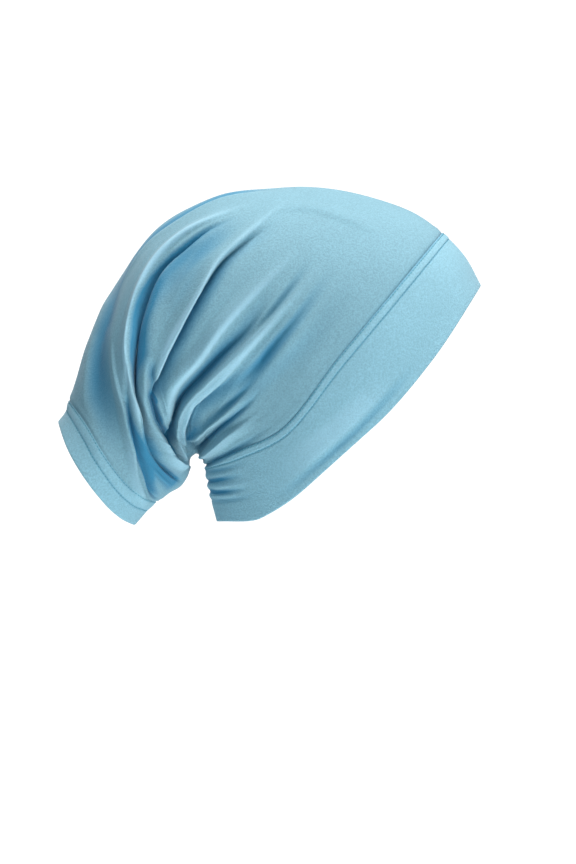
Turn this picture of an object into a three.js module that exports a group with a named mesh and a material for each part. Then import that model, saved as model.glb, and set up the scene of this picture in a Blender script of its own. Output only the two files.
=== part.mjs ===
// An underscarf cap: a stretchy jersey tube worn on the head, open at both ends.
// A doubled band grips the head from the forehead to the nape, the crown lies over the head and
// hangs behind it as a slack tail, and the tail ends in an open, doubled hem. Under the tail the
// crown is gathered, so folds fan out from there over the side of the head and down the tail.
//
// Millimetres. +X is forwards, out over the forehead, +Z is up, and Y runs across the head.
// The origin is on the crown's inner face, where the top of the head carries the cap.
import * as THREE from "three";

// Driving dimensions.
const CAP_LENGTH = 281; // forehead edge to the corner of the tail, along X
const CAP_HEIGHT = 224.5; // top of the crown to the lowest point of the tail, along Z
const CAP_BREADTH = 157; // widest, over the temples, along Y
const BAND_WIDTH = 44.5; // forehead edge to the crown seam, along the top line
const SEAM_STRIP = 6.4; // turned-in seam allowance, stitched down on the band
const HEM_WIDTH = 17; // crown seam to the tail's end, along the top line
const JERSEY_WALL = 1.1; // the single jersey of the crown
const BAND_WALL = 1.9; // the doubled jersey of the band
const HEM_WALL = 1.7; // the doubled jersey of the hem
const STRIP_RISE = 0.4; // how far the seam strip stands proud of the band
const SEAM_GAP = 0.4; // clearance between neighbouring pieces, along the top line
const FOLD_HEIGHT = 6; // the highest fold, over the skin that it rises from
const FOLD_SPREAD = 8; // half the width of the broadest gathered fold

// Mesh divisions.
const AROUND = 54; // facets round the tube
const LOW_CROWDING = 0.3; // how much closer the facets stand at the gathers than on the top
const CLOSEST_ROWS = 0.12; // the least step between rows of facets, in sections
const LINE_STEPS = 1500; // short stretches that the top line is measured in
const NORMAL_STEP = 1e-3; // how far apart, in sections and radians, a normal's neighbours lie

// Sections through the tube, a row for each, from the forehead edge to the tail's end.
// A section is a closed loop round the cap. topX and topZ place its highest point and lowX and
// lowZ its lowest one, both on the mid-plane: X as a share of CAP_LENGTH and Z as a share of
// CAP_HEIGHT down from the top. bowA to bowD say how far the loop's side leaves the straight line
// between them, towards the face where positive, at the heights in BOW_HEIGHTS and as a share
// of CAP_HEIGHT. half is the half-width as a share of half CAP_BREADTH, and egg moves the
// widest place towards the top. rows says how many rows of facets lie before the next section.
const SECTIONS = table(
  "name             rows  topX    topZ    lowX    lowZ    bowA    bowB    bowC    bowD    half   egg",
  `front_edge       3     0.385   0.294  -0.238   0.991   0.077   0.098   0.098   0.067   0.920  0.05
   band_middle      3     0.346   0.206  -0.256   0.905   0.062   0.098   0.082   0.048   0.960  0.07
   band_seam        2     0.290   0.133  -0.270   0.818   0.041   0.086   0.053   0.027   0.985  0.08
   temple           2     0.232   0.080  -0.273   0.807   0.024   0.060   0.050   0.028   1.000  0.10
   brow_crown       3     0.158   0.043  -0.276   0.801   0.009   0.038   0.041   0.026   1.000  0.11
   mid_crown        4     0.064   0.012  -0.279   0.796  -0.009   0.012   0.026   0.020   1.000  0.12
   vertex           4    -0.033   0.000  -0.283   0.792  -0.041  -0.036  -0.009   0.000   0.995  0.12
   rear_crown       4    -0.125   0.006  -0.288   0.790  -0.068  -0.098  -0.089  -0.041   0.980  0.11
   first_drape      4    -0.213   0.016  -0.293   0.791  -0.078  -0.118  -0.124  -0.071   0.955  0.09
   second_drape     4    -0.303   0.061  -0.300   0.800  -0.074  -0.118  -0.134  -0.083   0.915  0.06
   deep_drape       4    -0.385   0.130  -0.303   0.819  -0.066  -0.109  -0.115  -0.070   0.865  0.04
   tail_root        3    -0.452   0.235  -0.305   0.844  -0.050  -0.084  -0.089  -0.060   0.815  0.02
   upper_tail       3    -0.508   0.343  -0.323   0.883  -0.028  -0.048  -0.057  -0.045   0.775  0.00
   middle_tail      2    -0.547   0.466  -0.349   0.905  -0.014  -0.028  -0.034  -0.026   0.745  0.00
   lower_tail       2    -0.571   0.561  -0.367   0.920  -0.014  -0.024  -0.022  -0.013   0.725  0.00
   hem_seam         1    -0.587   0.629  -0.381   0.932  -0.018  -0.027  -0.022  -0.006   0.720  0.00
   hem_middle       2    -0.595   0.664  -0.407   0.962  -0.018  -0.027  -0.024  -0.010   0.720  0.00
   tail_end         0    -0.615   0.696  -0.435   1.001  -0.016  -0.026  -0.029  -0.021   0.725  0.00`,
);
const BOW_HEIGHTS = [0, 0.1, 0.25, 0.5, 0.75, 1]; // shares of the way up from the lowest point
const FULLNESS = 0.9; // 1 gives elliptical sections, and less gives fuller ones

// Folds, a row for each, drawn as they are seen from the side of the head: three points (X and
// Z as in SECTIONS) from the gather outwards, the rise or, where negative, the depth as a share
// of FOLD_HEIGHT, and its spread towards the face and towards the tail as shares of
// FOLD_SPREAD. fadeIn and fadeOut are the shares of the fold's run over which it comes and goes.
const FOLDS = table(
  "name            x1     z1     x2     z2     x3     z3     rise  face  tail  fadeIn fadeOut",
  `nape_roll      -0.291  0.800 -0.225  0.735 -0.150  0.640  0.45  0.60  0.60  0.10   0.60
   nape_crease    -0.305  0.790 -0.245  0.720 -0.165  0.640 -0.60  0.50  0.50  0.10   0.60
   small_roll     -0.310  0.780 -0.250  0.700 -0.180  0.610  0.35  0.45  0.45  0.10   0.60
   side_roll      -0.318  0.815 -0.317  0.655 -0.185  0.470  0.75  0.55  0.75  0.15   0.70
   side_crease    -0.350  0.760 -0.315  0.620 -0.130  0.360 -0.90  0.60  0.60  0.10   0.60
   temple_roll    -0.180  0.600 -0.100  0.430  0.020  0.260  0.30  1.00  1.20  0.40   0.60
   upper_roll     -0.362  0.730 -0.320  0.550 -0.100  0.270  0.45  0.70  0.90  0.15   0.60
   upper_crease   -0.378  0.650 -0.300  0.370 -0.140  0.150 -0.80  0.60  0.50  0.15   0.50
   back_roll      -0.365  0.540 -0.290  0.340 -0.110  0.090  0.70  0.60  1.40  0.30   0.45
   under_crease   -0.315  0.815 -0.375  0.710 -0.402  0.580 -1.00  0.50  0.50  0.10   0.50
   hanging_roll   -0.310  0.840 -0.385  0.740 -0.412  0.560  0.80  0.60  0.70  0.10   0.40
   deep_crease    -0.340  0.845 -0.434  0.500 -0.290  0.160 -1.00  0.90  0.55  0.25   0.35
   drape_roll     -0.400  0.740 -0.438  0.440 -0.300  0.105  0.60  0.50  1.20  0.35   0.40
   tail_crease    -0.405  0.900 -0.435  0.720 -0.450  0.520 -0.55  0.60  0.60  0.35   0.60
   tail_ridge     -0.420  0.880 -0.450  0.690 -0.475  0.540  0.50  0.40  1.00  0.25   0.60
   tail_hollow    -0.470  0.810 -0.525  0.580 -0.470  0.290 -0.60  1.30  1.30  0.45   0.60
   band_hollow    -0.060  0.900  0.050  0.790  0.180  0.620 -0.12  0.90  0.90  0.50   0.60
   nape_pucker_a  -0.280  0.850 -0.245  0.848 -0.195  0.840 -0.22  0.35  0.35  0.05   0.60
   nape_pucker_b  -0.275  0.882 -0.245  0.880 -0.205  0.872 -0.30  0.40  0.40  0.05   0.60
   nape_pucker_c  -0.265  0.915 -0.235  0.915 -0.190  0.905 -0.25  0.40  0.40  0.05   0.60`,
);
const FOLD_STEPS = 24; // straight stretches that a fold's line is measured against
const NARROWEST = 0.3; // the least share of its width that a turned-away fold shows from the side
const LOW_CALM = 0.09; // share of a section's height over which the folds die out at the low line
const FAR_SHARE = 0.85; // height of the far side's folds beside the near side's
const THICKEST = 1.7; // how far a steep fold may thicken the wall, as it is measured off the skin

const JERSEY = new THREE.MeshStandardMaterial({ color: 0x86bdd6, roughness: 0.85, metalness: 0 });
const DOUBLED = new THREE.MeshStandardMaterial({ color: 0x82bad4, roughness: 0.85, metalness: 0 });

// A table from its heading and its lines: one object for each line, with a value for each heading.
function table(heading, lines) {
  const names = heading.trim().split(/\s+/);
  return lines.split("\n").map((line) => {
    const cells = line.trim().split(/\s+/);
    return Object.fromEntries(names.map((n, i) => [n, i ? Number(cells[i]) : cells[i]]));
  });
}

// The smooth curve through the points (xs, ys), read at x. Its slopes are held down where the
// points turn sharply, so that it doesn't swing past them.
function curveAt(xs, ys, x) {
  const last = xs.length - 1;
  let i = 0;
  while (i < last - 1 && x > xs[i + 1]) i += 1;
  const secant = (a, b) => (ys[b] - ys[a]) / (xs[b] - xs[a]);
  const slope = (k) => {
    if (k === 0) return secant(0, 1);
    if (k === last) return secant(last - 1, last);
    const most = 2 * Math.min(Math.abs(secant(k - 1, k)), Math.abs(secant(k, k + 1)));
    return THREE.MathUtils.clamp(secant(k - 1, k + 1), -most, most);
  };
  const h = xs[i + 1] - xs[i];
  const f = (x - xs[i]) / h;
  const [m0, m1] = [slope(i) * h, slope(i + 1) * h];
  const [a, b] = [ys[i], ys[i + 1]];
  return a + f * (m0 + f * (3 * (b - a) - 2 * m0 - m1 + f * (2 * (a - b) + m0 + m1)));
}

const smoothStep = (f) => THREE.MathUtils.smoothstep(f, 0, 1);

const STATIONS = SECTIONS.map((_, i) => i);
const COLUMNS = Object.keys(SECTIONS[0]).slice(2);
const COLUMN_VALUES = Object.fromEntries(COLUMNS.map((c) => [c, SECTIONS.map((s) => s[c])]));

// The place in the cap's mid-plane of a share of the length and a share of the drop from the top.
const placed = (x, z) => new THREE.Vector2(x * CAP_LENGTH, JERSEY_WALL - z * CAP_HEIGHT);

// The unfolded skin: station runs along the tube as row numbers of SECTIONS, and turn goes round it
// from 0 at the top line, past -Y, to half a turn at the lowest line.
function skinAt(station, turn) {
  const s = {};
  for (const c of COLUMNS) s[c] = curveAt(STATIONS, COLUMN_VALUES[c], station);
  const low = placed(s.lowX, s.lowZ);
  const chord = placed(s.topX, s.topZ).sub(low);
  const height = (1 + Math.cos(turn)) / 2;
  const bows = [0, s.bowA, s.bowB, s.bowC, s.bowD, 0];
  const bow = curveAt(BOW_HEIGHTS, bows, height) * CAP_HEIGHT;
  const faceward = new THREE.Vector2(chord.y, -chord.x).normalize();
  const side = low.clone().addScaledVector(chord, height).addScaledVector(faceward, bow);
  const swing = Math.sin(turn);
  const across = Math.sign(swing) * Math.abs(swing) ** FULLNESS * (1 + s.egg * Math.cos(turn));
  return new THREE.Vector3(side.x, (-across * s.half * CAP_BREADTH) / 2, side.y);
}

// The outward normal of a surface that is given as a function of station and turn.
function normalOf(surface, station, turn) {
  const back = Math.max(station - NORMAL_STEP, 0);
  const on = Math.min(station + NORMAL_STEP, SECTIONS.length - 1);
  const along = surface(on, turn).sub(surface(back, turn));
  const around = surface(station, turn + NORMAL_STEP).sub(surface(station, turn - NORMAL_STEP));
  return along.cross(around).normalize();
}

// A fold's line in the side view, as short straight stretches.
function foldLine(fold) {
  const stops = [1, 2, 3].map((i) => placed(fold[`x${i}`], fold[`z${i}`]));
  return new THREE.SplineCurve(stops).getPoints(FOLD_STEPS);
}

// The nearest place on a fold's line to a point of the side view: how far across it, positive
// towards the face, what share of the way along it, and the direction that lies across it.
function nearestOn(line, point) {
  let best = { distance: Infinity };
  for (let i = 0; i < line.length - 1; i += 1) {
    const run = line[i + 1].clone().sub(line[i]);
    const offset = point.clone().sub(line[i]);
    const f = THREE.MathUtils.clamp(offset.dot(run) / run.lengthSq(), 0, 1);
    offset.addScaledVector(run, -f);
    const distance = offset.length();
    if (distance < best.distance) {
      const across = new THREE.Vector2(run.y, -run.x).normalize();
      const sign = Math.sign(offset.dot(across)) || 1;
      best = { distance, sign, across, share: (i + f) / (line.length - 1) };
    }
  }
  return best;
}

const FOLD_LINES = FOLDS.map((fold) => ({ fold, line: foldLine(fold) }));

// How far the folds lift the skin at a point. A fold looks narrower from the side where the skin
// turns away, dies out towards the low line, and is lower on the far side.
function foldLift(point, normal, turn) {
  const seen = new THREE.Vector2(point.x, point.z);
  let lift = 0;
  for (const { fold, line } of FOLD_LINES) {
    const near = nearestOn(line, seen);
    const tilt = normal.x * near.across.x + normal.z * near.across.y;
    const facing = Math.max(Math.sqrt(Math.max(1 - tilt * tilt, 0)), NARROWEST);
    const spread = (near.sign > 0 ? fold.face : fold.tail) * FOLD_SPREAD;
    const q = near.distance / facing / spread;
    if (q >= 1) continue;
    const come = smoothStep(near.share / fold.fadeIn);
    const go = smoothStep((1 - near.share) / fold.fadeOut);
    lift += fold.rise * FOLD_HEIGHT * (1 - q * q) ** 2 * come * go;
  }
  const height = (1 + Math.cos(turn)) / 2;
  const far = smoothStep(point.y / (CAP_BREADTH / 2));
  return lift * smoothStep(height / LOW_CALM) * THREE.MathUtils.lerp(1, FAR_SHARE, far);
}

// The folded skin, or the surface that lies a given distance above it.
function foldedAt(station, turn, above = 0) {
  const point = skinAt(station, turn);
  const normal = normalOf(skinAt, station, turn);
  return point.addScaledVector(normal, foldLift(point, normal, turn) + above);
}

// The top line from the forehead edge to the tail's end, as stations and how far along they lie.
function measuredTopLine() {
  const line = [{ station: 0, distance: 0 }];
  for (let i = 1; i <= LINE_STEPS; i += 1) {
    const before = line[i - 1];
    const station = (i / LINE_STEPS) * (SECTIONS.length - 1);
    const stretch = skinAt(station, 0).distanceTo(skinAt(before.station, 0));
    line.push({ station, distance: before.distance + stretch });
  }
  return line;
}

// The station that lies a given distance along the top line.
function stationAlong(distance) {
  const i = Math.max(TOP_LINE.findIndex((stop) => stop.distance >= distance), 1);
  const [a, b] = [TOP_LINE[i - 1], TOP_LINE[i]];
  return THREE.MathUtils.mapLinear(distance, a.distance, b.distance, a.station, b.station);
}

// A closed wall over a stretch of the tube. stations are its rows, and faces gives how far the
// outer and the inner face stand off the middle of the jersey at a station.
function wall(stations, faces) {
  const positions = [];
  const indices = [];
  for (const side of [0, 1])
    for (const station of stations)
      for (let k = 0; k < AROUND; k += 1) {
        const even = (2 * Math.PI * k) / AROUND;
        const turn = even + LOW_CROWDING * Math.sin(even);
        const lean = normalOf(foldedAt, station, turn).dot(normalOf(skinAt, station, turn));
        const face = faces(station)[side] / Math.max(lean, 1 / THICKEST);
        const above = (side ? -face : face) - JERSEY_WALL / 2;
        positions.push(...foldedAt(station, turn, above).toArray());
      }
  const vertex = (side, row, k) => (side * stations.length + row) * AROUND + (k % AROUND);
  const quad = (a, b, c, d) => indices.push(a, c, b, a, d, c);
  const end = stations.length - 1;
  for (let k = 0; k < AROUND; k += 1) {
    for (let row = 0; row < end; row += 1) {
      quad(vertex(0, row, k), vertex(0, row, k + 1), vertex(0, row + 1, k + 1), vertex(0, row + 1, k));
      quad(vertex(1, row, k), vertex(1, row + 1, k), vertex(1, row + 1, k + 1), vertex(1, row, k + 1));
    }
    quad(vertex(1, 0, k), vertex(1, 0, k + 1), vertex(0, 0, k + 1), vertex(0, 0, k));
    quad(vertex(0, end, k), vertex(0, end, k + 1), vertex(1, end, k + 1), vertex(1, end, k));
  }
  const geometry = new THREE.BufferGeometry();
  geometry.setAttribute("position", new THREE.Float32BufferAttribute(positions, 3));
  geometry.setIndex(indices);
  geometry.computeVertexNormals();
  return geometry;
}

// The stations of the rows of facets from one station to another, as SECTIONS spaces them.
function rowsBetween(from, to) {
  const inner = SECTIONS.flatMap(({ rows }, i) => Array.from({ length: rows }, (_, k) => i + k / rows));
  return [from, ...inner.filter((s) => s > from + CLOSEST_ROWS && s < to - CLOSEST_ROWS), to];
}

function piece(name, geometry, material) {
  const mesh = new THREE.Mesh(geometry, material);
  mesh.name = name;
  return mesh;
}

const TOP_LINE = measuredTopLine();
const TUBE = TOP_LINE[LINE_STEPS].distance;
const SEAM = stationAlong(BAND_WIDTH);
const HEM = stationAlong(TUBE - HEM_WIDTH);
const END = SECTIONS.length - 1;

// The doubled band, with the stitched-down seam allowance as a low ridge along its rear edge.
function frontBand() {
  const rear = stationAlong(BAND_WIDTH - SEAM_GAP);
  const ridge = stationAlong(BAND_WIDTH - SEAM_STRIP);
  const foot = stationAlong(BAND_WIDTH - SEAM_STRIP - STRIP_RISE);
  const rows = [...rowsBetween(0, foot), ridge, (ridge + rear) / 2, rear];
  return wall(rows, (s) => [BAND_WALL / 2 + (s >= ridge ? STRIP_RISE : 0), BAND_WALL / 2]);
}

function crown() {
  const rear = stationAlong(TUBE - HEM_WIDTH - SEAM_GAP);
  return wall(rowsBetween(SEAM, rear), () => [JERSEY_WALL / 2, JERSEY_WALL / 2]);
}

function tailHem() {
  return wall(rowsBetween(HEM, END), () => [HEM_WALL / 2, HEM_WALL / 2]);
}

const cap = new THREE.Group();
cap.add(piece("front_band", frontBand(), DOUBLED));
cap.add(piece("crown", crown(), JERSEY));
cap.add(piece("tail_hem", tailHem(), DOUBLED));

export default cap;
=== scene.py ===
"""Dresses the hijab underscarf cap: three cloths of pale blue jersey and their rows of stitching.

The cap is a tube. Each of its cloths is made on the same skin as the CAD solids, from sections through
the tube, and then folded: each fold is a line drawn on the side view with a rise, a spread to each side
and a lean. Lengths are in metres.
"""

import math
from functools import partial

import bpy
import numpy as np
from bpy.props import FloatProperty, FloatVectorProperty, PointerProperty
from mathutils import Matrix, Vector


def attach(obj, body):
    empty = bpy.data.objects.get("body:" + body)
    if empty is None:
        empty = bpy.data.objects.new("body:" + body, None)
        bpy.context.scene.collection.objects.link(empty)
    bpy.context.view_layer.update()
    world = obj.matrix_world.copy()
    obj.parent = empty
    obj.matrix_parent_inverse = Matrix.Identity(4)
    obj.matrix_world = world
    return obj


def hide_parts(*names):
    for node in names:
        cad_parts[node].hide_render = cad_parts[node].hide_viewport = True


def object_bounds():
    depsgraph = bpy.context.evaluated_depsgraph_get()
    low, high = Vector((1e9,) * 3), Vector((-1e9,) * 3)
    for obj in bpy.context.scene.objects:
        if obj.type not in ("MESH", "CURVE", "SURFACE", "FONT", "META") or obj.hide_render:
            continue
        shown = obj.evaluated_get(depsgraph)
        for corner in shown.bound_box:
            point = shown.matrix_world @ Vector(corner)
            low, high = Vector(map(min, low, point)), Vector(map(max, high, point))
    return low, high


bl_info = {
    "name": "Underscarf cap",
    "version": (1, 0, 0),
    "blender": (4, 5, 0),
    "location": "View3D > Sidebar > Underscarf cap",
    "description": "Makes the cloths, the stitching and the studio of a jersey underscarf cap",
    "category": "Object",
}

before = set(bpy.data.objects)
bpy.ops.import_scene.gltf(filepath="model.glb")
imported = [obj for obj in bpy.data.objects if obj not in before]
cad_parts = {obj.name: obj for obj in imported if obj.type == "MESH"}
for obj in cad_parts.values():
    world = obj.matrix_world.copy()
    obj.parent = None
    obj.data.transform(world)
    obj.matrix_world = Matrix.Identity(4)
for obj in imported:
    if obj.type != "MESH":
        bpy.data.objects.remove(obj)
CAD_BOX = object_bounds()

# Sections through the tube from the forehead edge to the tail's end, as in the part's source: how
# close the rows of the cloth lie, then the places of the top line and of the low line, how far the side
# bows towards the face at four heights, the breadth, and how much fuller it is above than below. They
# are shares of the cap's length, height and breadth.
SECTIONS = """
front_edge    7  0.385 0.294 -0.238 0.991  0.077  0.098  0.098  0.067 0.920 0.05
band_middle   7  0.346 0.206 -0.256 0.905  0.062  0.098  0.082  0.048 0.960 0.07
band_seam     7  0.290 0.133 -0.270 0.818  0.041  0.086  0.053  0.027 0.985 0.08
temple        8  0.232 0.080 -0.273 0.807  0.024  0.060  0.050  0.028 1.000 0.10
brow_crown   11  0.158 0.043 -0.276 0.801  0.009  0.038  0.041  0.026 1.000 0.11
mid_crown    15  0.064 0.012 -0.279 0.796 -0.009  0.012  0.026  0.020 1.000 0.12
vertex       18 -0.033 0.000 -0.283 0.792 -0.041 -0.036 -0.009  0.000 0.995 0.12
rear_crown   19 -0.125 0.006 -0.288 0.790 -0.068 -0.098 -0.089 -0.041 0.980 0.11
first_drape  22 -0.213 0.016 -0.293 0.791 -0.078 -0.118 -0.124 -0.071 0.955 0.09
second_drape 24 -0.303 0.061 -0.300 0.800 -0.074 -0.118 -0.134 -0.083 0.915 0.06
deep_drape   24 -0.385 0.130 -0.303 0.819 -0.066 -0.109 -0.115 -0.070 0.865 0.04
tail_root    19 -0.452 0.235 -0.305 0.844 -0.050 -0.084 -0.089 -0.060 0.815 0.02
upper_tail   14 -0.508 0.343 -0.323 0.883 -0.028 -0.048 -0.057 -0.045 0.775 0.00
middle_tail  10 -0.547 0.466 -0.349 0.905 -0.014 -0.028 -0.034 -0.026 0.745 0.00
lower_tail    8 -0.571 0.561 -0.367 0.920 -0.014 -0.024 -0.022 -0.013 0.725 0.00
hem_seam      8 -0.587 0.629 -0.381 0.932 -0.018 -0.027 -0.022 -0.006 0.720 0.00
hem_middle    8 -0.595 0.664 -0.407 0.962 -0.018 -0.027 -0.024 -0.010 0.720 0.00
tail_end      0 -0.615 0.696 -0.435 1.001 -0.016 -0.026 -0.029 -0.021 0.725 0.00
"""
BOW_HEIGHTS = (0, 0.1, 0.25, 0.5, 0.75, 1)  # shares of the way up a section; no bow at either end

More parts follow.
